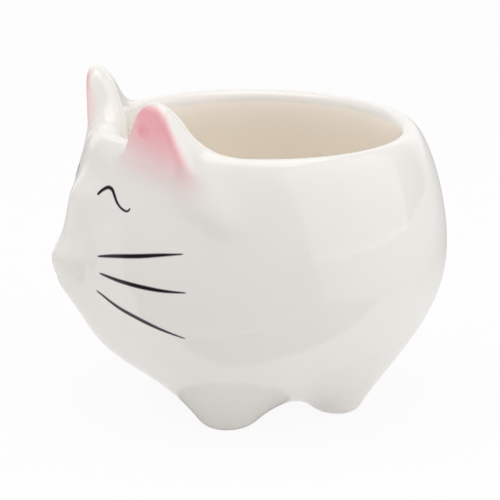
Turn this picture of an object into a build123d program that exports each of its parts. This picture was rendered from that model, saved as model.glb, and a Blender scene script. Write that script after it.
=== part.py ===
# Cat-shaped planter: a glazed bowl with ears, muzzle, feet, painted marks and a drain plug, in mm
# +Z is up, the cat faces -Y, its left is +X, and the origin is on the ground under the middle of its box
import os
from math import cos, radians, sin

from build123d import *

# Bowl, measured from its own upright axis
belly_radius = 63.0
belly_height = 53.0
rim_radius = 50.5
rim_height = 93.5
base_radius = 28.0
base_height = 8.0
wall = 4.6
floor_thickness = 5.0

# Share of a radius at which a curve's handle makes a quarter oval, and the fuller corner of an ear
round_handle = 0.5523
ear_handle = 0.75

# Reaches of the curve handles that round the outside: heel, flank, shoulder and lip
heel_reach = 12.0
flank_reach = 26.0
shoulder_reach = 18.0
lip_reach = 5.0

# Rolled lip and neck on the inside
lip_overhang = 3.6
lip_depth = 4.5
neck_reach = 10.0

# Feet: stubs that flare upwards into the bowl, with a flat pad each
foot_spread = 27.0
front_foot_reach = 22.0
rear_foot_reach = 18.0
front_leg_radius = 14.8
rear_leg_radius = 14.6
foot_pad_radius = 5.0
foot_round = 4.0
ankle_radius = 10.0
ankle_height = 4.0
flare_height = 12.0
leg_rise = 24.0
leg_flare = 6.6

# Bridge of the face: a rounded ridge down the bowl's front, from the chest to just under the lip
bridge_proud = 4.4
bridge_radius = 22.0
bridge_rise = 18.0
bridge_drop = 2.5
chest_reach = 10.0
chest_fullness = 20.0
chest_lift = 10.0
brow_rise = 19.0
brow_reach = 19.0

# Muzzle on the bridge and nose on the muzzle: how far each stands out, and how high it sits
muzzle_proud = 7.7
muzzle_radius = 12.0
muzzle_rise = 1.9
muzzle_above = 9.1
muzzle_below = 19.9
muzzle_top_rise = 5.6
muzzle_top_reach = 8.0
chin_reach = 4.0
chin_rise = 10.0
nose_proud = 0.8
nose_radius = 4.2
nose_length = 4.0
nose_rise = 1.6

# Ears: half-round slices on an upright front plane, turned outwards
ear_turn = 21.5
ear_proud = 5.6
ear_offset = 10.2
ear_root_drop = 17.0
ear_root_half_width = 10.0
ear_root_depth = 5.0
ear_half_width = 13.6
ear_depth = 12.3
ear_height = 17.5
ear_middle_half_width = 8.9
ear_middle_depth = 10.3
ear_crown_drop = 2.5
ear_crown_half_width = 5.0
ear_crown_depth = 6.6
ear_tip_half_width = 1.5
ear_tip_depth = 3.5

# Painted marks: films of fired colour
film = 0.3
film_gap = 0.05
blush_base = 1.5
blush_half_width = 10.0
blush_top_gap = 2.5
blush_corner = 1.5
eye_turn = 17.0
eye_shift = 0.7
eye_level = 0.622
eye_line = 1.2
eye_stroke = [(-7.7, -0.5), (-3.0, 2.8), (0.8, 0.4), (4.1, -2.3), (6.6, -2.8), (7.7, -1.8)]
whisker_turn = 31.0
whisker_thickness = 1.3
whisker_inner = -18.2
whisker_outer = 16.2

# Rise of each whisker over the muzzle's middle, at its inner end, middle and outer end
whisker_rises = {
    "upper": (4.1, 7.4, 10.6),
    "middle": (-1.5, -2.0, -2.1),
    "lower": (-7.1, -13.5, -18.1),
}

# Drain hole and its soft plug
drain_radius = 6.0
plug_clearance = 0.3
plug_recess = 0.5
plug_flange_radius = 10.0
plug_flange_thickness = 2.2
plug_neck_radius = 2.6
plug_neck_height = 3.0
plug_knob_radius = 4.2
plug_knob_height = 4.4

# The bridge and the muzzle stand out from the belly, and the nose from the muzzle
bridge_axis_reach = belly_radius + bridge_proud - bridge_radius
muzzle_reach = belly_radius + muzzle_proud
muzzle_axis_reach = muzzle_reach - muzzle_radius
muzzle_height = belly_height + muzzle_rise
nose_reach = muzzle_reach + nose_proud
nose_height = muzzle_height + nose_rise

# The box from the nose's tip to the back of the belly is centred on the origin
bowl_y = (nose_reach - belly_radius) / 2
bowl_axis = Axis((0, bowl_y, 0), (0, 0, 1))
section = Plane(origin=(0, bowl_y, 0), x_dir=(1, 0, 0), z_dir=(0, -1, 0))
bridge_section = section.offset(bridge_axis_reach)
muzzle_section = section.offset(muzzle_axis_reach)
floor_height = base_height + floor_thickness
foot_top = base_height + leg_rise

os.makedirs("parts", exist_ok=True)


def keep(built, label):
    """Name a finished piece and write it out."""
    built.part.label = label
    export_step(built.part, f"parts/{label}.step")


def keep_pair(built, label):
    """Write the cat's left piece, then its mirror image on the right."""
    keep(built, label.replace("SIDE", "left"))
    with BuildPart() as twin:
        mirror(built.part, about=Plane.YZ)
    keep(twin, label.replace("SIDE", "right"))


def outside_wall(grow):
    """Draw the bowl's outside, from its base to the crown of its lip, grown outwards by a film."""
    belly = belly_radius + grow
    base = base_height - grow
    crown = rim_height + grow
    flank = (belly, belly_height - flank_reach)
    widest = (belly, belly_height)
    shoulder = (belly, belly_height + shoulder_reach)
    Bezier((base_radius, base), (base_radius + heel_reach, base), flank, widest)
    Bezier(widest, shoulder, (rim_radius + lip_reach, crown), (rim_radius, crown))


def bowl_form(grow):
    """Filled form of the bowl's outside."""
    with BuildPart() as form:
        with BuildSketch(section):
            with BuildLine():
                outside_wall(grow)
                Polyline(
                    (rim_radius, rim_height + grow),
                    (0, rim_height + grow),
                    (0, base_height - grow),
                    (base_radius, base_height - grow),
                )
            make_face()
        revolve(axis=bowl_axis)
    return form.part


def bridge_form(grow):
    """Filled form of the bridge, round an upright axis of its own inside the bowl's front."""
    widest = bridge_radius + grow
    low = base_height + bridge_rise - grow
    high = rim_height - bridge_drop + grow
    with BuildPart() as form:
        with BuildSketch(bridge_section):
            with BuildLine():
                chest = (chest_fullness, low + chest_lift)
                brow = (widest, belly_height + brow_rise)
                Bezier((0, low), (chest_reach, low), chest, (widest, belly_height))
                Bezier((widest, belly_height), brow, (brow_reach, high), (0, high))
                Line((0, high), (0, low))
            make_face()
        revolve(axis=Axis(bridge_section.origin, (0, 0, 1)))
    return form.part


def outside_form(grow):
    """Filled form of the bowl's outside with its bridge."""
    with BuildPart() as form:
        add(bowl_form(grow))
        add(bridge_form(grow))
    return form.part


def quarter_round(middle, across, up, handle):
    """Draw a quarter oval about a point on the local x axis, from its side to its top."""
    side = middle + across
    Bezier((side, 0), (side, up * handle), (middle + across * handle, up), (middle, up))


def facing(turn, reach, height):
    """An upright plane in front of the bowl, turned towards the cat's left, with its local y up."""
    out = (sin(radians(turn)), -cos(radians(turn)), 0)
    along = (cos(radians(turn)), sin(radians(turn)), 0)
    return Plane(origin=(reach * out[0], bowl_y + reach * out[1], height), x_dir=along, z_dir=out)


# The outside that the other pieces are seated on, and the two faces of the painted films
outside = outside_form(0)
film_under = outside_form(film_gap)
film_over = outside_form(film_gap + film)

# Pot shell: even wall with the bridge on it, rolled lip, flat floor with the drain hole
neck_radius = rim_radius - lip_overhang
neck_height = rim_height - lip_depth
inner_belly = belly_radius - wall
floor_radius = base_radius - wall
with BuildPart() as pot_shell:
    add(bridge_form(0))
    add(bowl_form(-wall / 2), mode=Mode.SUBTRACT)
    with BuildSketch(section):
        with BuildLine():
            outside_wall(0)
            Bezier((rim_radius, rim_height), (neck_radius, rim_height), (neck_radius, neck_height))
            Bezier(
                (neck_radius, neck_height),
                (neck_radius, neck_height - neck_reach),
                (inner_belly, belly_height + shoulder_reach),
                (inner_belly, belly_height),
            )
            Bezier(
                (inner_belly, belly_height),
                (inner_belly, belly_height - flank_reach),
                (floor_radius + heel_reach, floor_height),
                (floor_radius, floor_height),
            )
            Polyline(
                (floor_radius, floor_height),
                (drain_radius, floor_height),
                (drain_radius, base_height),
                (base_radius, base_height),
            )
        make_face()
    revolve(axis=bowl_axis)
keep(pot_shell, "pot_shell")

# Feet: turned stubs, cut to the bowl's underside
feet = {
    "front": (-front_foot_reach, front_leg_radius),
    "rear": (rear_foot_reach, rear_leg_radius),
}
for end, (foot_y, leg_radius) in feet.items():
    foot_place = Plane(origin=(foot_spread, bowl_y + foot_y, 0), x_dir=(1, 0, 0), z_dir=(0, -1, 0))
    with BuildPart() as foot:
        with BuildSketch(foot_place):
            with BuildLine():
                Bezier(
                    (foot_pad_radius, 0),
                    (foot_pad_radius + foot_round, 0),
                    (ankle_radius, ankle_height),
                    (leg_radius, flare_height),
                )
                Polyline(
                    (leg_radius, flare_height),
                    (leg_radius + leg_flare, foot_top),
                    (0, foot_top),
                    (0, 0),
                    (foot_pad_radius, 0),
                )
            make_face()
        revolve(axis=Axis(foot_place.origin, (0, 0, 1)))
        add(outside, mode=Mode.SUBTRACT)
    keep_pair(foot, f"foot_{end}_SIDE")

# Muzzle: a full round swelling, steep at its top and longer at the chin, seated on the bridge
muzzle_top = muzzle_height + muzzle_above
muzzle_low = muzzle_height - muzzle_below
with BuildPart() as muzzle:
    with BuildSketch(muzzle_section):
        with BuildLine():
            Bezier(
                (0, muzzle_low),
                (chin_reach, muzzle_low),
                (muzzle_radius, muzzle_low + chin_rise),
                (muzzle_radius, muzzle_height),
            )
            Bezier(
                (muzzle_radius, muzzle_height),
                (muzzle_radius, muzzle_height + muzzle_top_rise),
                (muzzle_top_reach, muzzle_top),
                (0, muzzle_top),
            )
            Line((0, muzzle_top), (0, muzzle_low))
        make_face()
    revolve(axis=Axis(muzzle_section.origin, (0, 0, 1)))
    add(outside, mode=Mode.SUBTRACT)
keep(muzzle, "muzzle")

# Nose: a low half-egg that points forwards, seated on the muzzle
nose_back = bowl_y - nose_reach + nose_length
nose_place = Plane(origin=(0, nose_back, nose_height), x_dir=(0, -1, 0), z_dir=(-1, 0, 0))
with BuildPart() as nose:
    with BuildSketch(nose_place):
        with BuildLine():
            quarter_round(0, nose_length, nose_radius, round_handle)
            Polyline((0, nose_radius), (0, 0), (nose_length, 0))
        make_face()
    revolve(axis=Axis(nose_place.origin, (0, -1, 0)))
    add([outside, muzzle.part], mode=Mode.SUBTRACT)
keep(nose, "nose")

# Ears: lofted half-round slices over the lip, with the flat side to the front
ear_face = facing(ear_turn, rim_radius + ear_proud, rim_height)
ear_level = Plane(origin=ear_face.origin, x_dir=ear_face.x_dir, z_dir=(0, 0, 1))
ear_slices = [
    (-ear_root_drop, ear_root_half_width, ear_root_depth),
    (0, ear_half_width, ear_depth),
    (ear_height / 2, ear_middle_half_width, ear_middle_depth),
    (ear_height - ear_crown_drop, ear_crown_half_width, ear_crown_depth),
    (ear_height, ear_tip_half_width, ear_tip_depth),
]
with BuildPart() as ear:
    for rise, half_width, depth in ear_slices:
        with BuildSketch(ear_level.offset(rise)):
            with BuildLine():
                quarter_round(ear_offset, half_width, depth, ear_handle)
                quarter_round(ear_offset, -half_width, depth, ear_handle)
                Line((ear_offset - half_width, 0), (ear_offset + half_width, 0))
            make_face()
    loft()
    add(pot_shell.part, mode=Mode.SUBTRACT)
keep_pair(ear, "ear_SIDE")

# Ear blush: a rounded three-cornered film on the ear's front
with BuildPart() as blush:
    with BuildSketch(ear_face) as blush_shape:
        with BuildLine():
            Polyline(
                (ear_offset - blush_half_width, blush_base),
                (ear_offset + blush_half_width, blush_base),
                (ear_offset, ear_height - blush_top_gap),
                close=True,
            )
        make_face()
        fillet(blush_shape.vertices(), radius=blush_corner)
    extrude(amount=film)
keep_pair(blush, "ear_blush_SIDE")

# Eyes: one brush line each, part of the way from the belly to the rim, with a flick at the outer end
eye_height = belly_height + eye_level * (rim_height - belly_height)
stroke_reach = belly_radius + wall
with BuildPart() as eye:
    with BuildSketch(facing(eye_turn, stroke_reach, eye_height)):
        with BuildLine():
            Spline([(eye_shift + across, up) for across, up in eye_stroke])
        trace(line_width=eye_line)
    extrude(amount=-belly_radius)
    add(film_over, mode=Mode.INTERSECT)
    add(film_under, mode=Mode.SUBTRACT)
keep_pair(eye, "eye_SIDE")

# Whiskers: strokes that taper to a point at both ends
whisker_middle = (whisker_inner + whisker_outer) / 2
for row, (inner, middle, outer) in whisker_rises.items():
    with BuildPart() as whisker:
        with BuildSketch(facing(whisker_turn, stroke_reach, muzzle_height)):
            with BuildLine():
                for edge in (whisker_thickness / 2, -whisker_thickness / 2):
                    Spline((whisker_inner, inner), (whisker_middle, middle + edge), (whisker_outer, outer))
            make_face()
        extrude(amount=-belly_radius)
        add(film_over, mode=Mode.INTERSECT)
        add([film_under, muzzle.part], mode=Mode.SUBTRACT)
    keep_pair(whisker, f"whisker_SIDE_{row}")

# Drain plug: a stem in the hole, a flange on the floor and a knob to pull it by
plug_stem_radius = drain_radius - plug_clearance
plug_stem_bottom = base_height + plug_recess
flange_top = floor_height + plug_flange_thickness
knob_bottom = flange_top + plug_neck_height
knob_top = knob_bottom + plug_knob_height
with BuildPart() as drain_plug:
    with BuildSketch(section):
        with BuildLine():
            Polyline(
                (0, knob_top),
                (0, plug_stem_bottom),
                (plug_stem_radius, plug_stem_bottom),
                (plug_stem_radius, floor_height),
                (plug_flange_radius, floor_height),
                (plug_flange_radius, flange_top),
                (plug_neck_radius, flange_top),
                (plug_neck_radius, knob_bottom),
                (plug_knob_radius, knob_bottom),
            )
            Bezier((plug_knob_radius, knob_bottom), (plug_knob_radius, knob_top), (0, knob_top))
        make_face()
    revolve(axis=bowl_axis)
keep(drain_plug, "drain_plug")
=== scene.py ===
# Glazed cat planter: a seamless glazed skin, brushed enamel strokes, a silicone drain plug and a studio
from math import comb

import bpy
import numpy as np
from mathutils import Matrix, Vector


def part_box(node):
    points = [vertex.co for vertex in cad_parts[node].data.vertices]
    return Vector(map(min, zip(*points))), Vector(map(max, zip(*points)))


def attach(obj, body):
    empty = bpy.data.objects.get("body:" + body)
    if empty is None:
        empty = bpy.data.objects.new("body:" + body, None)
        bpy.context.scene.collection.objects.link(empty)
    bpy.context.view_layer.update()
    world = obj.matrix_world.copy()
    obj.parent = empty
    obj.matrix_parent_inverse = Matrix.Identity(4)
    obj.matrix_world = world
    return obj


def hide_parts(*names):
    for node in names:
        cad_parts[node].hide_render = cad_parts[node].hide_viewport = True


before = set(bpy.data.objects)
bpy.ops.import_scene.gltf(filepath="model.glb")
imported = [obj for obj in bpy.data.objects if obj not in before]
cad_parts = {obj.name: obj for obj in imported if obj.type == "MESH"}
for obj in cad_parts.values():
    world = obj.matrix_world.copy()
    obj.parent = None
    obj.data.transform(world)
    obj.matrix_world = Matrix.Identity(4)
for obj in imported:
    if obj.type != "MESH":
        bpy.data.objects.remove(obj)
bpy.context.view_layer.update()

# Units: forms are worked out in mm about the bowl's axis, x to the cat's left, -y forwards and z up
MM = 0.001
pot_low, pot_high = (np.array(corner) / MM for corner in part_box("pot_shell"))
plug_low, plug_high = (np.array(corner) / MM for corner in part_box("drain_plug"))
BOWL_Y = (plug_low[1] + plug_high[1]) / 2
BELLY_RADIUS = (pot_high[0] - pot_low[0]) / 2
RIM_HEIGHT = pot_high[2]
BASE_HEIGHT = pot_low[2]

# Wall of the bowl
BELLY_HEIGHT = 53.0
RIM_RADIUS = 50.5
BASE_RADIUS = 28.0
WALL = 4.6
FLOOR_HEIGHT = BASE_HEIGHT + 5.0
INNER_BELLY = BELLY_RADIUS - WALL
FLOOR_RADIUS = BASE_RADIUS - WALL
NECK_RADIUS = RIM_RADIUS - 3.6
NECK_HEIGHT = RIM_HEIGHT - 4.5
HEEL_REACH = 12.0
FLANK_REACH = 26.0
SHOULDER_REACH = 18.0
LIP_REACH = 5.0
NECK_REACH = 10.0
RIM_TILT = 0.7
DRAIN_RADIUS = 6.0
DRAIN_ROUND = 1.2

# Rows along the wall: how many, each stretch's share for its length, and what a turn counts for at the rim
ROWS = 295
SECTION_FINE = 400
UNDERSIDE_SHARE = 0.7
OUTSIDE_SHARE = 1.0
NECK_SHARE = 0.35
INSIDE_SHARE = 0.3
DRAIN_SHARE = 0.4
CROWN_FAN = 22.0
CROWN_SPAN = (NECK_HEIGHT - 9.0, NECK_HEIGHT - 1.0)

# Columns round the bowl: steps in degrees over muzzle, face and back, and the turns where they change
MUZZLE_STEP = 0.36
FACE_STEP = 0.58
BACK_STEP = 2.8
MUZZLE_SPAN = (10.0, 14.0)
FACE_SPAN = (58.0, 82.0)
RING_FINE = 2001

# Way out to the skin: how deep in the wall a point starts, its steps, and a distance that is out of reach
CORE = 3.0
RUN_STEPS = 70
FAR = 1000.0

# Ears: a spot on each flank with its lean, the flat front and the oval back
EAR_TURN = 21.5
EAR_FRONT = 56.0
EAR_LEAN = 0.05
EAR_LEVEL = 100.0
EAR_LATERAL = (17.5, 104.8, 30.0)
EAR_MEDIAL = (-2.0, 103.6, 28.0)
EAR_TIP_ROUND = 12.0
EAR_MIDDLE = 88.0
EAR_CORE = 53.0
EAR_DEPTH = 9.7
EAR_RISE = 24.6
EAR_ROOT = 12.0
EAR_BACK_POWER = 1.7
EAR_BACK_EDGE = 5.0
EAR_FRONT_EDGE = 1.6
EAR_SOFT_EDGE = 9.0
EAR_SOFT_SPAN = (96.0, 84.0)
EAR_FILLET_FRONT = 3.0
EAR_SOFT_FILLET = 3.5
EAR_FILLET_BACK = 9.0
EAR_FILLET_SPAN = (48.0, 55.0)
DIMPLE_PLACE = (7.0, 101.0)
DIMPLE_SPAN = (2.86, 1.1)
DIMPLE_DEPTH = 0.35
SPECK = 1e-3

# Face: swellings of the wall in mm, with widths in degrees round the bowl where they follow it
BRIDGE_PROUD = 4.4
BRIDGE_WIDTH = 9.2
BRIDGE_RISE = (28.0, 50.0)
BRIDGE_FADE = (86.0, 74.0)
BROW_PROUD = 2.0
BROW_WIDTH = 16.0
BROW_RISE = (79.0, 90.0)
CHEST_PROUD = 2.3
CHEST_WIDTH = 22.0
CHEST_HEIGHT = 27.0
CHEST_SPREAD = 11.8
MUZZLE_PROUD = 3.7
MUZZLE_HEIGHT = 54.9
MUZZLE_ABOVE = 5.9
MUZZLE_BELOW = 13.9
MUZZLE_WIDTH = 11.0
FACING_SPAN = (0.0, 0.6)
FORWARD_SPAN = (0.0, -20.0)

# Nose pad and mouth groove on the muzzle, in mm across and up
NOSE_PROUD = 0.35
NOSE_TOP = 57.6
NOSE_LOW = 50.4
NOSE_SLOPE = 0.52
NOSE_EDGE = (0.5, -0.7)
NOSE_CORNER = 2.0
MOUTH_DEPTH = 0.45
MOUTH_WIDTH = 1.3
MOUTH_LINE = ((0.0, 51.0), (1.6, 48.6), (4.4, 46.9), (7.4, 46.4), (9.6, 47.8), (10.8, 50.6), (10.9, 54.0))
MOUTH_SPOTS = 60

# Feet
FOOT_SPREAD = 27.0
FRONT_FOOT = -22.0
REAR_FOOT = 18.0
FRONT_PAD = 5.0
REAR_PAD = 5.0
FRONT_TAPER = 0.24
REAR_TAPER = 0.21
FRONT_FILLET = 22.5
REAR_FILLET = 19.0
SOLE_EDGE = 2.6
FOOT_TOP = 26.0

# Where the glaze changes, in mm up: cream begins below the lip, and the soles are bare
LIP_LINE = (90.1, 89.3)
SOLE_LINE = (0.5, 0.1)

# Pink sprayed on the ears, in mm: out to the front, up, and along the ear from its inner flank
BLUSH_START = 53.2
BLUSH_FULL = 56.2
BLUSH_LOW_SPAN = (102.0, 86.0)
BLUSH_LOW_REACH = 3.0
BLUSH_TIP_SPAN = (100.0, 107.0)
BLUSH_TIP_REACH = 2.0
BLUSH_INNER_SPAN = (12.0, 2.0)
BLUSH_INNER_REACH = 1.4
BLUSH_INNER_FULL = 0.8
BLUSH_RISE = (82.0, 107.0)
BLUSH_RISE_SLOPE = 0.15
BLUSH_CROWN = (110.9, 109.2)
BLUSH_FLANK = (1.4, -1.6)
BLUSH_FLANK_LOW = (2.5, -1.0)
BLUSH_PALE_SPAN = (8.0, -2.0)
BLUSH_PALE = 0.2
BLUSH_DIMPLE_SPAN = (2.64, 1.54)
BLUSH_DIMPLE = 0.15

# Brush strokes as spots on the skin: degrees round from the middle of the face, and height
EYE_STROKE = (
    (10.2, 77.6),
    (11.8, 79.4),
    (14.0, 80.7),
    (16.2, 80.5),
    (18.0, 78.9),
    (19.8, 77.1),
    (22.0, 75.8),
    (24.2, 75.3),
    (25.2, 75.7),
    (25.7, 76.5),
)
WHISKER_STROKES = {
    "upper": ((14.3, 58.8), (21.8, 60.6), (30.6, 62.4), (38.6, 64.1), (46.0, 65.4)),
    "middle": ((15.3, 53.5), (23.0, 53.0), (31.8, 52.8), (39.8, 52.8), (47.2, 53.2)),
    "lower": ((13.5, 47.3), (21.2, 44.1), (30.2, 41.8), (38.2, 39.7), (46.4, 37.7)),
}

# Width of the black along a stroke, evenly spaced from start to end, and the paler edge that bled out of it
EYE_WIDTHS = (0.75, 0.95, 1.0, 1.0, 0.85, 0.6, 0.5, 0.45, 0.4)
WHISKER_WIDTHS = (0.3, 0.75, 1.0, 1.15, 1.2, 1.1, 0.85, 0.5, 0.15)
STROKE_BLEED = 0.3
BLEED_SPAN = (-0.1, STROKE_BLEED)
STROKE_PROUD = 0.12
STROKE_ROOT = 0.3
STROKE_END = 0.03
STROKE_POINT = 0.01
STROKE_SPOTS = 90
STROKE_RING = 28

# Outside skin under the strokes: its rows, how far it faces out, its heights, and small steps that probe it
STROKE_ROWS = 2 * ROWS
STROKE_FACING = 0.3
STROKE_LOWEST = 20.0
STROKE_HIGHEST = 90.0
TURN_PROBE = 0.004
HEIGHT_PROBE = 0.3

# Drain plug
FLANGE_RADIUS = 10.0
FLANGE_THICKNESS = 2.2
NECK_OF_PLUG = 2.6
KNOB_RADIUS = 4.2
KNOB_UNDER = 1.0
KNOB_OVER = 1.2
KNOB_CROWN = 1.5
PLUG_CLEARANCE = 0.3
PLUG_ROUND = 0.8
PLUG_POLE = 0.2
PLUG_COLUMNS = 64

# Colours as the eye sees them, and noises as the size of a patch with its detail
GLAZE_WHITES = ("#F3F0EC", "#EEEAE5")
GLAZE_CREAMS = ("#FCF7F0", "#F9F3EA")
SPRAYED_PINK = "#FAA1AE"
BARE_CLAY = "#E4DACB"
ENAMEL_BLACKS = ("#0B0A0A", "#1D1A1A")
BLED_EDGE = "#DAD8DE"
SILICONE_GREYS = ("#C9C7C2", "#BDBBB6")
PAPER = "#E6E6E4"
PLAIN_WHITE = "#FFFFFF"
POOLING = (22 * MM, 3.0)
SPRAY = (3.5 * MM, 3.0)
SPRAY_LEVELS = (0.8, 1.15)
RIPPLE = (14 * MM, 1.0)
BRUSH_LOAD = (1.5 * MM, 2.0)
DUST = (0.8 * MM, 4.0)
GLAZE_TO_SOLE = (0.045, 0.75)

# Sockets of a colour Mix node
MIX_A = 6
MIX_B = 7
MIX_RESULT = 2

# Painted reflection: a glow on the floor that only the glaze sees, laid out as a table edge and a card
# beside it. For each edge: the turn it faces, its span, and the glow on either side
PAINTED_TABLE_TURN = np.radians(68)
PAINTED_TABLE_EDGE = (PAINTED_TABLE_TURN, (62 * MM, 68 * MM), (0.9, 0.2))
PAINTED_CARD_EDGE = (np.radians(132), (150 * MM, 156 * MM), (0.0, 0.65))
PAINTED_CARD_SIDE = (np.radians(191), (0.0, 12 * MM), (0.0, 1.0))

# Painted shade in that glow: a fade outwards and a painted shadow at the near front foot. For each: the spot
# it lies round, the span it runs over, and the glow within and beyond it
PAINTED_TABLE_FADE = ((0, 0, 0), (90 * MM, 240 * MM), (1.0, 0.6))
PAINTED_FOOT_SHADOW = ((FOOT_SPREAD * MM, (FRONT_FOOT + BOWL_Y) * MM, 0), (23 * MM, 25 * MM), (0.4, 1.0))

# Floor itself: the share of plain white for other rays and for the camera, half its width, and its level
FLOOR_GLOW = (0.2, 0.92)
FLOOR_HALF = 3.0
FLOOR_LEVEL = -0.1 * MM

# Room: its light for other rays and for the glaze, and the backdrop that the glaze mirrors behind the pot
ROOM_LEVELS = (0.59, 0.15)
BACKDROP_SPAN = (0.6, 0.85)
BACKDROP_LEVELS = (0.05, 0.9)
DIFFUSE_BOUNCES = 8

# Softboxes: azimuth, elevation, distance, width, height, power, and whether the glaze mirrors it
SOFTBOXES = {
    "right_softbox": (134.0, 25.0, 1.2, 1.85, 1.5, 5.6, True),
    "face_softbox": (-15.0, 30.0, 1.2, 0.9, 1.1, 2.7, False),
    "top_softbox": (240.0, 88.0, 1.0, 0.9, 0.9, 4.0, True),
}

# Camera at the photograph's viewing angle
CAMERA_AZIMUTH = 67.76
CAMERA_ELEVATION = 16.38
CAMERA_DISTANCE = 0.85
CAMERA_LENS = 183.5
CAMERA_SENSOR = 36.0
CAMERA_NEAR = 0.01
CAMERA_TARGET = (-0.00092, 0.0020, 0.0498)


def bezier(points, count):
    """Bezier curve: each point weighted by its Bernstein share. Its end is left to the next stretch."""
    t = np.linspace(0, 1, count, endpoint=False)[:, None]
    last = len(points) - 1
    shares = [comb(last, k) * t**k * (1 - t) ** (last - k) for k in range(last + 1)]
    return sum(share * np.array(point, float) for share, point in zip(shares, points))


def through(points, count):
    """Smooth line through all points: each span is a cubic whose end slopes follow its neighbours."""
    spots = np.array(points, float)
    slopes = np.gradient(spots, axis=0)
    place = np.linspace(0, len(spots) - 1, count)
    span = np.minimum(place.astype(int), len(spots) - 2)
    t = (place - span)[:, None]
    ahead = (3 - 2 * t) * t**2
    curve = (1 - ahead) * spots[span] + ahead * spots[span + 1]
    return curve + t * (1 - t) ** 2 * slopes[span] - t**2 * (1 - t) * slopes[span + 1]


def step(low, high, value):
    """Smooth step from 0 at low to 1 at high."""
    t = np.clip((value - low) / (high - low), 0, 1)
    return t * t * (3 - 2 * t)


def join(a, b, fillet):
    """Smooth least of two distances: the union of two forms with a fillet between them."""
    h = np.maximum(fillet - np.abs(a - b), 0)
    return np.minimum(a, b) - h * h / (4 * fillet)


def meet(a, b, edge):
    """Smooth greatest of two distances: what two forms share, with a rounded edge."""
    return -join(-a, -b, edge)


def wall_section(rows):
    """Closed section of the wall: underside, outside, lip, inside, floor and drain hole.
    It gives each row's radius, height, normal and whether it is inside. Rows are spaced by length along
    the wall plus its turn, so that the rows of the lip fan out over the ears."""
    hole = DRAIN_RADIUS + DRAIN_ROUND
    drain_top = FLOOR_HEIGHT - DRAIN_ROUND
    drain_low = BASE_HEIGHT + DRAIN_ROUND
    # Each stretch: its share of the rows, then the points of its curve
    stretches = (
        (UNDERSIDE_SHARE, (hole, BASE_HEIGHT), (BASE_RADIUS, BASE_HEIGHT)),
        (
            OUTSIDE_SHARE,
            (BASE_RADIUS, BASE_HEIGHT),
            (BASE_RADIUS + HEEL_REACH, BASE_HEIGHT),
            (BELLY_RADIUS, BELLY_HEIGHT - FLANK_REACH),
            (BELLY_RADIUS, BELLY_HEIGHT),
        ),
        (
            OUTSIDE_SHARE,
            (BELLY_RADIUS, BELLY_HEIGHT),
            (BELLY_RADIUS, BELLY_HEIGHT + SHOULDER_REACH),
            (RIM_RADIUS + LIP_REACH, RIM_HEIGHT),
            (RIM_RADIUS, RIM_HEIGHT),
        ),
        (OUTSIDE_SHARE, (RIM_RADIUS, RIM_HEIGHT), (NECK_RADIUS, RIM_HEIGHT), (NECK_RADIUS, NECK_HEIGHT)),
        (
            NECK_SHARE,
            (NECK_RADIUS, NECK_HEIGHT),
            (NECK_RADIUS, NECK_HEIGHT - NECK_REACH),
            (INNER_BELLY, BELLY_HEIGHT + SHOULDER_REACH),
            (INNER_BELLY, BELLY_HEIGHT),
        ),
        (
            INSIDE_SHARE,
            (INNER_BELLY, BELLY_HEIGHT),
            (INNER_BELLY, BELLY_HEIGHT - FLANK_REACH),
            (FLOOR_RADIUS + HEEL_REACH, FLOOR_HEIGHT),
            (FLOOR_RADIUS, FLOOR_HEIGHT),
        ),
        (DRAIN_SHARE, (FLOOR_RADIUS, FLOOR_HEIGHT), (hole, FLOOR_HEIGHT)),
        (DRAIN_SHARE, (hole, FLOOR_HEIGHT), (DRAIN_RADIUS, FLOOR_HEIGHT), (DRAIN_RADIUS, drain_top)),
        (DRAIN_SHARE, (DRAIN_RADIUS, drain_top), (DRAIN_RADIUS, drain_low)),
        (DRAIN_SHARE, (DRAIN_RADIUS, drain_low), (DRAIN_RADIUS, BASE_HEIGHT), (hole, BASE_HEIGHT)),
    )
    line = np.concatenate([bezier(points, SECTION_FINE) for _, *points in stretches])
    density = np.repeat([stretch[0] for stretch in stretches], SECTION_FINE)
    ahead = np.roll(line, -1, axis=0) - line
    around = np.roll(line, -1, axis=0) - np.roll(line, 1, axis=0)
    turn = np.unwrap(np.arctan2(around[:, 1], around[:, 0]))
    crown = step(*CROWN_SPAN, line[:, 1]) * CROWN_FAN
    measure = np.linalg.norm(ahead, axis=1) * density + np.abs(np.diff(turn, append=turn[-1])) * crown
    total = np.concatenate([[0], np.cumsum(measure)])
    places = np.linspace(0, total[-1], rows, endpoint=False)
    radius, height = (np.interp(places, total, np.append(line[:, k], line[0, k])) for k in (0, 1))
    angle = np.interp(places, total, np.append(turn, turn[-1]))
    inside = np.arange(rows) > np.argmax(height)
    return np.stack([radius, height, np.sin(angle), -np.cos(angle), inside])


def ring_angles():
    """Angles round the bowl in radians: closest over the muzzle, close over the ears, wide apart behind."""
    even = np.linspace(-np.pi, np.pi, RING_FINE)
    turn = np.abs(np.degrees(even))
    spacing = MUZZLE_STEP + (FACE_STEP - MUZZLE_STEP) * step(*MUZZLE_SPAN, turn)
    spacing = spacing + (BACK_STEP - FACE_STEP) * step(*FACE_SPAN, turn)
    total = np.concatenate([[0], np.cumsum(np.diff(even) / spacing[1:])])
    count = round(np.degrees(total[-1]))
    return np.interp(np.linspace(0, total[-1], count, endpoint=False), total, even)


def ear_places(x, y):
    """Place in the ear's own plan: along its front, and out from the bowl's axis.
    Both ears are one mirrored form."""
    turn = np.radians(EAR_TURN)
    side = np.abs(x)
    return side * np.cos(turn) + y * np.sin(turn), side * np.sin(turn) - y * np.cos(turn)


def flank(along, height, spot):
    """Distance from a straight flank that passes through a spot and leans by an angle."""
    u, z, lean = spot
    return (along - u) * np.cos(np.radians(lean)) + (height - z) * np.sin(np.radians(lean))


def from_dimple(along, height):
    """Distance from the middle of an ear's dimple, along the ear and up."""
    return np.hypot(along - DIMPLE_PLACE[0], height - DIMPLE_PLACE[1])


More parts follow.
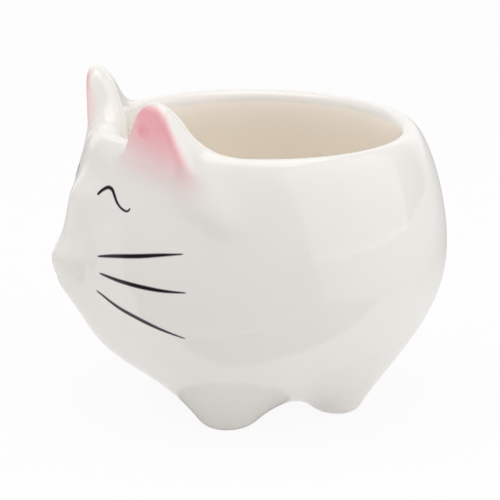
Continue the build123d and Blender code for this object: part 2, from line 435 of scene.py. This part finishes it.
def ear_distance(x, y, z):
    """Distance from an ear: a rounded triangle seen from the front, with a flat front and an oval back.
    The oval's two shares are raised to a power and summed, and its distance is divided by its slope."""
    along, out = ear_places(x, y)
    outline = meet(flank(along, z, EAR_LATERAL), flank(-along, z, EAR_MEDIAL), EAR_TIP_ROUND)
    rise = np.where(z > EAR_MIDDLE, EAR_RISE, EAR_ROOT)
    a = np.abs(out - EAR_CORE) / EAR_DEPTH + SPECK
    b = np.abs(z - EAR_MIDDLE) / rise + SPECK
    near = (a**EAR_BACK_POWER + b**EAR_BACK_POWER) ** (1 / EAR_BACK_POWER)
    slope = np.hypot(a ** (EAR_BACK_POWER - 1) / EAR_DEPTH, b ** (EAR_BACK_POWER - 1) / rise)
    back = (near - 1) * near ** (EAR_BACK_POWER - 1) / slope
    edge = EAR_FRONT_EDGE + (EAR_SOFT_EDGE - EAR_FRONT_EDGE) * step(*EAR_SOFT_SPAN, z)
    dimple = DIMPLE_DEPTH * step(*DIMPLE_SPAN, from_dimple(along, z))
    front = EAR_FRONT + EAR_LEAN * (z - EAR_LEVEL) - dimple
    return meet(meet(outline, back, EAR_BACK_EDGE), out - front, edge)


def foot_distance(x, y, z, place, pad, taper):
    """Distance from a pair of stub feet: cones that widen upwards and end inside the wall."""
    across = np.hypot(np.abs(x) - FOOT_SPREAD, y - place)
    side = (across - pad - taper * z) / np.hypot(1, taper)
    return np.maximum(side, z - FOOT_TOP)


def face_swell(angle, height):
    """Outward swelling of the wall: a bell in angle down the middle of the face, and wider ones for the
    chest and for the brow between the ears."""
    turn = np.degrees(angle)
    level = step(*BRIDGE_RISE, height) * step(*BRIDGE_FADE, height)
    bridge = BRIDGE_PROUD * np.exp(-((turn / BRIDGE_WIDTH) ** 2)) * level
    chest = np.exp(-((turn / CHEST_WIDTH) ** 2) - ((height - CHEST_HEIGHT) / CHEST_SPREAD) ** 2)
    brow = BROW_PROUD * np.exp(-((turn / BROW_WIDTH) ** 2)) * step(*BROW_RISE, height)
    return bridge + CHEST_PROUD * chest + brow


def muzzle_swell(x, height):
    """Forward swelling of the muzzle, a bell that is steep above its top and longer below it."""
    over = height - MUZZLE_HEIGHT
    reach = np.where(over > 0, MUZZLE_ABOVE, MUZZLE_BELOW)
    return MUZZLE_PROUD * np.exp(-((x / MUZZLE_WIDTH) ** 2) - (over / reach) ** 2)


def face_relief(x, height):
    """Forward relief: a three-cornered nose pad with soft edges, less a groove of bell section along the
    mouth line."""
    side = (np.abs(x) - NOSE_SLOPE * (height - NOSE_LOW)) / np.hypot(1, NOSE_SLOPE)
    nose = NOSE_PROUD * step(*NOSE_EDGE, meet(side, height - NOSE_TOP, NOSE_CORNER))
    line = through(MOUTH_LINE, MOUTH_SPOTS)
    away = np.hypot(np.abs(x)[..., None] - line[:, 0], height[..., None] - line[:, 1]).min(axis=-1)
    return nose - MOUTH_DEPTH * np.exp(-((away / MOUTH_WIDTH) ** 2))


def skin(angles, section):
    """Skin of the planter on a grid of angle and wall section.
    Each point starts inside the wall and runs out along the wall's normal, by the distance that is left,
    to where the joined form of wall, ears and feet ends."""
    radius, height, out, up, inside = section
    turn = angles[:, None]
    facing = step(*FACING_SPAN, out)
    reach = radius + facing * face_swell(turn, height)
    x = reach * np.sin(turn)
    y = -reach * np.cos(turn)
    height_here = np.broadcast_to(height, x.shape)
    forward = muzzle_swell(x, height) + face_relief(x, height_here)
    y = y - facing * step(*FORWARD_SPAN, y) * forward
    z = height + RIM_TILT * np.cos(turn) * step(BELLY_HEIGHT, RIM_HEIGHT, height)
    way = np.stack([out * np.sin(turn), -out * np.cos(turn), np.broadcast_to(up, x.shape)])
    start = np.stack([x, y, z]) - CORE * way
    run = np.full(x.shape, CORE / 2)
    for _ in range(RUN_STEPS):
        px, py, pz = start + run * way
        depth = ear_places(px, py)[1]
        ahead = EAR_FILLET_FRONT + (EAR_SOFT_FILLET - EAR_FILLET_FRONT) * step(*EAR_SOFT_SPAN, pz)
        fillet = EAR_FILLET_BACK + (ahead - EAR_FILLET_BACK) * step(*EAR_FILLET_SPAN, depth)
        form = join(run - CORE, ear_distance(px, py, pz), fillet)
        front = foot_distance(px, py, pz, FRONT_FOOT, FRONT_PAD, FRONT_TAPER) + FAR * inside
        rear = foot_distance(px, py, pz, REAR_FOOT, REAR_PAD, REAR_TAPER) + FAR * inside
        form = join(join(form, front, FRONT_FILLET), rear, REAR_FILLET)
        form = meet(form, -pz, SOLE_EDGE)
        run = run + np.maximum(-form, 0)
    return start + run * way


def ear_blush(x, y, z):
    """Share of pink at each point: a smooth step outwards to the ear's front, times steps that end it below
    the ear, at the tip and past the inner flank. The first step begins deeper low down and on the inner half
    below the tip. The pink pales a little towards the inner flank and is fullest in the dimple."""
    along, out = ear_places(x, y)
    depth = out - EAR_LEAN * (z - EAR_LEVEL)
    inner = step(*BLUSH_INNER_SPAN, along)
    low = step(*BLUSH_LOW_SPAN, z)
    tip = step(*BLUSH_TIP_SPAN, z)
    start = BLUSH_START - BLUSH_LOW_REACH * low + (BLUSH_TIP_REACH * tip - BLUSH_INNER_REACH) * inner
    sprayed = step(start, BLUSH_FULL - BLUSH_INNER_FULL * inner, depth)
    sprayed = sprayed * step(*BLUSH_RISE, z + BLUSH_RISE_SLOPE * along) * step(*BLUSH_CROWN, z)
    past, within = (edge + more * low for edge, more in zip(BLUSH_FLANK, BLUSH_FLANK_LOW))
    sprayed = sprayed * step(past, within, flank(-along, z, EAR_MEDIAL))
    sprayed = sprayed * (1 - BLUSH_PALE * step(*BLUSH_PALE_SPAN, along))
    dimple = step(*BLUSH_DIMPLE_SPAN, from_dimple(along, z))
    return np.where(y < 0, sprayed * (1 - BLUSH_DIMPLE + BLUSH_DIMPLE * dimple), 0)


def on_skin(angles, heights):
    """Points of the outside skin at given angles and heights, read between the two nearest rows."""
    section = wall_section(STROKE_ROWS)
    _, height, out, _, _ = section
    rising = (out > STROKE_FACING) & (height > STROKE_LOWEST) & (height < STROKE_HIGHEST)
    columns = skin(angles, section[:, rising])
    below = np.clip((columns[2] < heights[:, None]).sum(axis=1), 1, columns.shape[2] - 1)
    pick = np.arange(len(angles))
    low = columns[:, pick, below - 1]
    high = columns[:, pick, below]
    share = (heights - low[2]) / (high[2] - low[2])
    return low + share * (high - low)


def stroke(spots, widths, side):
    """Brush stroke on the skin: a flat oval carried along a line of spots, with its width read along it.
    It also gives how far each point lies out into the bled edge."""
    angle, height = through(spots, STROKE_SPOTS).T
    angle = np.radians(angle) * side
    centre = on_skin(angle, height)
    round_about = on_skin(angle + TURN_PROBE, height) - on_skin(angle - TURN_PROBE, height)
    upward = on_skin(angle, height + HEIGHT_PROBE) - on_skin(angle, height - HEIGHT_PROBE)
    normal = np.cross(round_about, upward, axis=0)
    normal = normal / np.linalg.norm(normal, axis=0)
    along = np.gradient(centre, axis=1)
    across = np.cross(normal, along, axis=0)
    across = across / np.linalg.norm(across, axis=0)
    share = np.linspace(0, 1, centre.shape[1])
    black = np.interp(share, np.linspace(0, 1, len(widths)), widths) / 2
    round_end = np.sqrt(np.clip(np.minimum(share, 1 - share) / STROKE_END, STROKE_POINT, 1))
    half = (black + STROKE_BLEED) * round_end
    phi = np.linspace(0, 2 * np.pi, STROKE_RING, endpoint=False)[:, None]
    rise = np.where(np.sin(phi) > 0, STROKE_PROUD, STROKE_ROOT) * np.sin(phi) * (half / half.max())
    points = centre[:, None] + across[:, None] * (np.cos(phi) * half) + normal[:, None] * rise
    outward = np.abs(np.cos(phi)) * (black + STROKE_BLEED) - black
    return points, step(*BLEED_SPAN, outward)


def plug_profile():
    """Outside of the stopper from its tip up: a stem, a flange on the floor, a neck and a round knob."""
    low = plug_low[2]
    high = plug_high[2]
    stem = DRAIN_RADIUS - PLUG_CLEARANCE
    seat = FLOOR_HEIGHT
    flange = FLOOR_HEIGHT + FLANGE_THICKNESS
    wide = FLANGE_RADIUS
    thin = NECK_OF_PLUG
    full = KNOB_RADIUS
    knob = high - KNOB_RADIUS
    under = knob - KNOB_UNDER
    over = knob + KNOB_OVER
    soft = PLUG_ROUND
    # Each stretch: how many rows it gets, then the points of its curve
    stretches = (
        (4, (PLUG_POLE, low), (stem - soft, low)),
        (6, (stem - soft, low), (stem, low), (stem, low + soft)),
        (3, (stem, low + soft), (stem, seat)),
        (4, (stem, seat), (wide - soft, seat)),
        (6, (wide - soft, seat), (wide, seat), (wide, seat + soft)),
        (6, (wide, seat + soft), (wide, flange), (wide - soft, flange)),
        (5, (wide - soft, flange), (thin + soft, flange)),
        (6, (thin + soft, flange), (thin, flange), (thin, flange + soft)),
        (14, (thin, flange + soft), (thin, under), (full, under), (full, over)),
        (14, (full, over), (full, high), (KNOB_CROWN, high), (PLUG_POLE, high)),
    )
    return np.concatenate([bezier(points, count) for count, *points in stretches]).T


def revolve(profile, count):
    """Surface of revolution: the profile's radius swung round the axis."""
    turn = np.linspace(0, 2 * np.pi, count, endpoint=False)[:, None]
    radius, height = profile
    heights = np.broadcast_to(height, (count, len(height)))
    return np.stack([radius * np.sin(turn), -radius * np.cos(turn), heights])


def piece(name, points, material, capped, values=None):
    """Mesh of a grid of columns and rows. Columns close on themselves. Rows do too, or they are capped."""
    _, columns, rows = points.shape
    place = (points + np.array([0, BOWL_Y, 0])[:, None, None]) * MM
    index = np.arange(columns * rows).reshape(columns, rows)
    beside = np.roll(index, -1, axis=0)
    corners = np.stack([index, beside, np.roll(beside, -1, axis=1), np.roll(index, -1, axis=1)], axis=-1)
    if capped:
        corners = corners[:, :-1]
    faces = corners.reshape(-1, 4).tolist()
    if capped:
        faces += [index[::-1, 0].tolist(), index[:, -1].tolist()]
    mesh = bpy.data.meshes.new(name)
    mesh.from_pydata(place.reshape(3, -1).T.tolist(), [], faces)
    mesh.shade_smooth()
    for label, value in (values or {}).items():
        held = mesh.attributes.new(label, "FLOAT", "POINT")
        held.data.foreach_set("value", value.astype(np.float32).ravel())
    mesh.materials.append(material)
    made = bpy.data.objects.new(name, mesh)
    bpy.context.scene.collection.objects.link(made)
    return made


def colour(code):
    """Linear colour from an sRGB hex value: the dark end is divided down, and the rest follows a power."""
    share = np.array([int(code[k : k + 2], 16) for k in (1, 3, 5)]) / 255
    linear = np.where(share <= 0.04045, share / 12.92, ((share + 0.055) / 1.055) ** 2.4)
    return (*linear.tolist(), 1.0)


def add(tree, kind, inputs=None, links=None, **settings):
    """Adds a node: settings go on it, inputs are values of its sockets, and links join others to it."""
    made = tree.nodes.new(kind)
    for name, value in settings.items():
        setattr(made, name, value)
    for name, value in (inputs or {}).items():
        made.inputs[name].default_value = value
    for name, socket in (links or {}).items():
        tree.links.new(socket, made.inputs[name])
    return made


def noise(tree, place, size, detail):
    """Cloudy noise with patches of about a given size."""
    made = add(tree, "ShaderNodeTexNoise", {"Scale": 1 / size, "Detail": detail}, {"Vector": place})
    return made.outputs["Fac"]


def ramp(tree, value, levels, span=(0.0, 1.0), kind="LINEAR"):
    """Maps a value's span to two levels, in a straight line or by a smooth step."""
    made = add(
        tree,
        "ShaderNodeMapRange",
        {"From Min": span[0], "From Max": span[1], "To Min": levels[0], "To Max": levels[1]},
        {"Value": value},
        interpolation_type=kind,
    )
    return made.outputs["Result"]


def reckon(tree, operation, first, second):
    """Two values joined by an operation, such as their product or the greater of them."""
    return add(tree, "ShaderNodeMath", None, {0: first, 1: second}, operation=operation).outputs[0]


def gauge(tree, operation, place, fixed):
    """A place measured against a fixed vector: its dot product with it, or its distance from it."""
    return add(tree, "ShaderNodeVectorMath", {1: fixed}, {0: place}, operation=operation).outputs["Value"]


def blend(tree, share, first, second):
    """Mix of two colours by a share. Each is a hex value, or a socket that gives the colour."""
    made = add(tree, "ShaderNodeMix", None, {0: share}, data_type="RGBA")
    for socket, shade in ((made.inputs[MIX_A], first), (made.inputs[MIX_B], second)):
        if isinstance(shade, str):
            socket.default_value = colour(shade)
        else:
            tree.links.new(shade, socket)
    return made.outputs[MIX_RESULT]


def mix_shaders(tree, share, first, second):
    """Mix of two shaders by a share."""
    return add(tree, "ShaderNodeMixShader", None, {0: share, 1: first, 2: second}).outputs[0]


def new_material(name):
    """Empty node material and its output node."""
    made = bpy.data.materials.new(name)
    made.use_nodes = True
    made.node_tree.nodes.clear()
    return made, made.node_tree, add(made.node_tree, "ShaderNodeOutputMaterial")


def white_glaze():
    """Glossy tin-white glaze over earthenware, cream inside, with airbrushed pink on the ears.
    The eye sees a clear mirror-like coat, soft pooling in the white, and dry, chalky soles."""
    made, tree, output = new_material("tin_white_glaze_on_earthenware")
    place = add(tree, "ShaderNodeTexCoord").outputs["Object"]
    inside, blush, sole = (
        add(tree, "ShaderNodeAttribute", attribute_name=label).outputs["Fac"]
        for label in ("inside", "blush", "sole")
    )
    pooling = noise(tree, place, *POOLING)
    uneven = ramp(tree, noise(tree, place, *SPRAY), SPRAY_LEVELS)
    coats = blend(tree, inside, blend(tree, pooling, *GLAZE_WHITES), blend(tree, pooling, *GLAZE_CREAMS))
    coats = blend(tree, reckon(tree, "MULTIPLY", blush, uneven), coats, SPRAYED_PINK)
    coats = blend(tree, sole, coats, BARE_CLAY)
    ripple = noise(tree, place, *RIPPLE)
    bump = add(tree, "ShaderNodeBump", {"Strength": 0.25, "Distance": 0.06 * MM}, {"Height": ripple})
    rough = ramp(tree, sole, GLAZE_TO_SOLE)
    shader = add(
        tree,
        "ShaderNodeBsdfPrincipled",
        {"IOR": 1.6},
        {"Base Color": coats, "Roughness": rough, "Normal": bump.outputs["Normal"]},
    )
    tree.links.new(shader.outputs["BSDF"], output.inputs["Surface"])
    return made


def black_enamel():
    """Black overglaze enamel, brushed on and fired. The eye sees a glossy black, uneven like a brush's load,
    with a pale blue edge that bled out of it."""
    made, tree, output = new_material("brushed_black_enamel")
    place = add(tree, "ShaderNodeTexCoord").outputs["Object"]
    bleed = add(tree, "ShaderNodeAttribute", attribute_name="bleed").outputs["Fac"]
    shade = blend(tree, noise(tree, place, *BRUSH_LOAD), *ENAMEL_BLACKS)
    shader = add(
        tree,
        "ShaderNodeBsdfPrincipled",
        {"IOR": 1.5, "Roughness": 0.15},
        {"Base Color": blend(tree, bleed, shade, BLED_EDGE)},
    )
    tree.links.new(shader.outputs["BSDF"], output.inputs["Surface"])
    return made


def grey_silicone():
    """Moulded silicone rubber: dull, faintly see-through, with a fine dusty grain."""
    made, tree, output = new_material("moulded_grey_silicone")
    place = add(tree, "ShaderNodeTexCoord").outputs["Object"]
    grain = noise(tree, place, *DUST)
    bump = add(tree, "ShaderNodeBump", {"Strength": 0.3, "Distance": 0.03 * MM}, {"Height": grain})
    shader = add(
        tree,
        "ShaderNodeBsdfPrincipled",
        {"IOR": 1.41, "Roughness": 0.5, "Subsurface Weight": 0.15, "Subsurface Scale": 2 * MM},
        {"Base Color": blend(tree, grain, *SILICONE_GREYS), "Normal": bump.outputs["Normal"]},
    )
    tree.links.new(shader.outputs["BSDF"], output.inputs["Surface"])
    return made


def white_paper():
    """White paper under the pot. The eye sees it almost plain white, with a soft shade where the pot stands.
    The glaze sees a painted reflection on it instead: a glow with no lamp behind it, laid out as a table
    that is light up to its edge, fades outwards and has a painted shadow at the near front foot, or as a
    card where that is lighter."""
    made, tree, output = new_material("paper_floor_painted_reflection")
    path = add(tree, "ShaderNodeLightPath").outputs
    spot = add(tree, "ShaderNodeTexCoord").outputs["Object"]
    sheet = add(tree, "ShaderNodeBsdfDiffuse", {"Color": colour(PAPER)}).outputs[0]
    glow = add(tree, "ShaderNodeEmission", {"Color": colour(PLAIN_WHITE), "Strength": 1.0}).outputs[0]
    seen = mix_shaders(tree, ramp(tree, path["Is Camera Ray"], FLOOR_GLOW), sheet, glow)
    edges = []
    # Painted reflection: edges of the glowing table and card that only the glaze sees
    for turn, span, levels in (PAINTED_TABLE_EDGE, PAINTED_CARD_EDGE, PAINTED_CARD_SIDE):
        ahead = gauge(tree, "DOT_PRODUCT", spot, (np.sin(turn), -np.cos(turn), 0))
        edges.append(ramp(tree, ahead, levels, span, "SMOOTHSTEP"))
    painted_table_glow, painted_card_glow, painted_card_side = edges
    # Painted shade: the glow fades outwards and darkens in a painted shadow round the near front foot
    for centre, span, levels in (PAINTED_TABLE_FADE, PAINTED_FOOT_SHADOW):
        away = gauge(tree, "DISTANCE", spot, centre)
        painted_table_glow = reckon(tree, "MULTIPLY", painted_table_glow, ramp(tree, away, levels, span, "SMOOTHSTEP"))
    painted_table_glow = reckon(tree, "MAXIMUM", painted_table_glow, reckon(tree, "MULTIPLY", painted_card_glow, painted_card_side))
    # Painted reflection: the glaze sees this glow in place of the paper, and no lamp stands behind it
    mirrored = add(tree, "ShaderNodeEmission", {"Color": colour(PLAIN_WHITE)}, {"Strength": painted_table_glow}).outputs[0]
    tree.links.new(mix_shaders(tree, path["Is Glossy Ray"], seen, mirrored), output.inputs["Surface"])
    return made


def studio_room():
    """Plain room of one light level, dimmer where the glaze mirrors it.
    Camera and transmission rays see it plain white, and the glaze mirrors a backdrop behind the pot."""
    made = bpy.data.worlds.new("studio_room")
    made.use_nodes = True
    tree = made.node_tree
    tree.nodes.clear()
    path = add(tree, "ShaderNodeLightPath").outputs
    direction = add(tree, "ShaderNodeTexCoord").outputs["Generated"]
    behind = gauge(tree, "DOT_PRODUCT", direction, (-np.sin(PAINTED_TABLE_TURN), np.cos(PAINTED_TABLE_TURN), 0))
    backing = ramp(tree, behind, BACKDROP_LEVELS, BACKDROP_SPAN, "SMOOTHSTEP")
    clear = reckon(tree, "MAXIMUM", path["Is Camera Ray"], path["Is Transmission Ray"])
    seen = reckon(tree, "MAXIMUM", clear, reckon(tree, "MULTIPLY", path["Is Glossy Ray"], backing))
    level = ramp(tree, path["Is Glossy Ray"], ROOM_LEVELS)
    room = add(tree, "ShaderNodeBackground", {"Color": colour(PLAIN_WHITE)}, {"Strength": level}).outputs[0]
    backdrop = add(tree, "ShaderNodeBackground", {"Color": colour(PLAIN_WHITE), "Strength": 1.0}).outputs[0]
    output = add(tree, "ShaderNodeOutputWorld")
    tree.links.new(mix_shaders(tree, seen, room, backdrop), output.inputs["Surface"])
    return made


def aim(made, azimuth, elevation, distance, target):
    """Places an object round a target by azimuth, elevation and distance, looking at it."""
    a, e = np.radians([azimuth, elevation])
    away = Vector((np.sin(a) * np.cos(e), -np.cos(a) * np.cos(e), np.sin(e)))
    made.location = Vector(target) + away * distance
    made.rotation_euler = away.to_track_quat("Z", "Y").to_euler()
    bpy.context.scene.collection.objects.link(made)


# Brush strokes of the eyes and whiskers
enamel = black_enamel()
strokes = {}
for side_name, side in (("left", 1), ("right", -1)):
    strokes[f"eye_{side_name}"] = stroke(EYE_STROKE, EYE_WIDTHS, side)
    for level, spots in WHISKER_STROKES.items():
        strokes[f"whisker_{side_name}_{level}"] = stroke(spots, WHISKER_WIDTHS, side)
for node_name, (points, bled) in strokes.items():
    brushed = piece(f"brushed_{node_name}", points, enamel, capped=True, values={"bleed": bled})
    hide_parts(node_name)
    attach(brushed, "planter")

# The glazed skin, with where the glaze is cream, pink or missing
section = wall_section(ROWS)
body = skin(ring_angles(), section)
inside_rows = section[4]
values = {
    "inside": inside_rows * step(*LIP_LINE, body[2]),
    "blush": ear_blush(*body),
    "sole": step(*SOLE_LINE, body[2]),
}
glazed = piece("glazed_body", body, white_glaze(), capped=False, values=values)
stands_for = ["pot_shell", "muzzle", "nose", "ear_left", "ear_right", "ear_blush_left", "ear_blush_right"]
stands_for += [f"foot_{end}_{side}" for end in ("front", "rear") for side in ("left", "right")]
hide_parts(*stands_for)
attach(glazed, "planter")

# The drain plug
stopper = piece("drain_stopper", revolve(plug_profile(), PLUG_COLUMNS), grey_silicone(), capped=True)
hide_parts("drain_plug")
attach(stopper, "plug")

# Floor, room, softboxes and camera
scene = bpy.context.scene
scene.view_settings.view_transform = "Standard"
scene.cycles.diffuse_bounces = DIFFUSE_BOUNCES
scene.world = studio_room()

floor_mesh = bpy.data.meshes.new("paper_floor")
floor_mesh.from_pydata(
    [(x * FLOOR_HALF, y * FLOOR_HALF, FLOOR_LEVEL) for x, y in ((-1, -1), (1, -1), (1, 1), (-1, 1))],
    [],
    [(0, 1, 2, 3)],
)
floor_mesh.materials.append(white_paper())
floor = bpy.data.objects.new("paper_floor", floor_mesh)
scene.collection.objects.link(floor)

for name, (azimuth, elevation, distance, width, height, power, mirrored) in SOFTBOXES.items():
    lamp = bpy.data.lights.new(name, "AREA")
    lamp.shape = "RECTANGLE"
    lamp.size = width
    lamp.size_y = height
    lamp.energy = power
    softbox = bpy.data.objects.new(name, lamp)
    softbox.visible_glossy = mirrored
    aim(softbox, azimuth, elevation, distance, CAMERA_TARGET)

camera_data = bpy.data.cameras.new("camera")
camera_data.lens = CAMERA_LENS
camera_data.sensor_width = CAMERA_SENSOR
camera_data.clip_start = CAMERA_NEAR
camera = bpy.data.objects.new("camera", camera_data)
aim(camera, CAMERA_AZIMUTH, CAMERA_ELEVATION, CAMERA_DISTANCE, CAMERA_TARGET)
scene.camera = camera
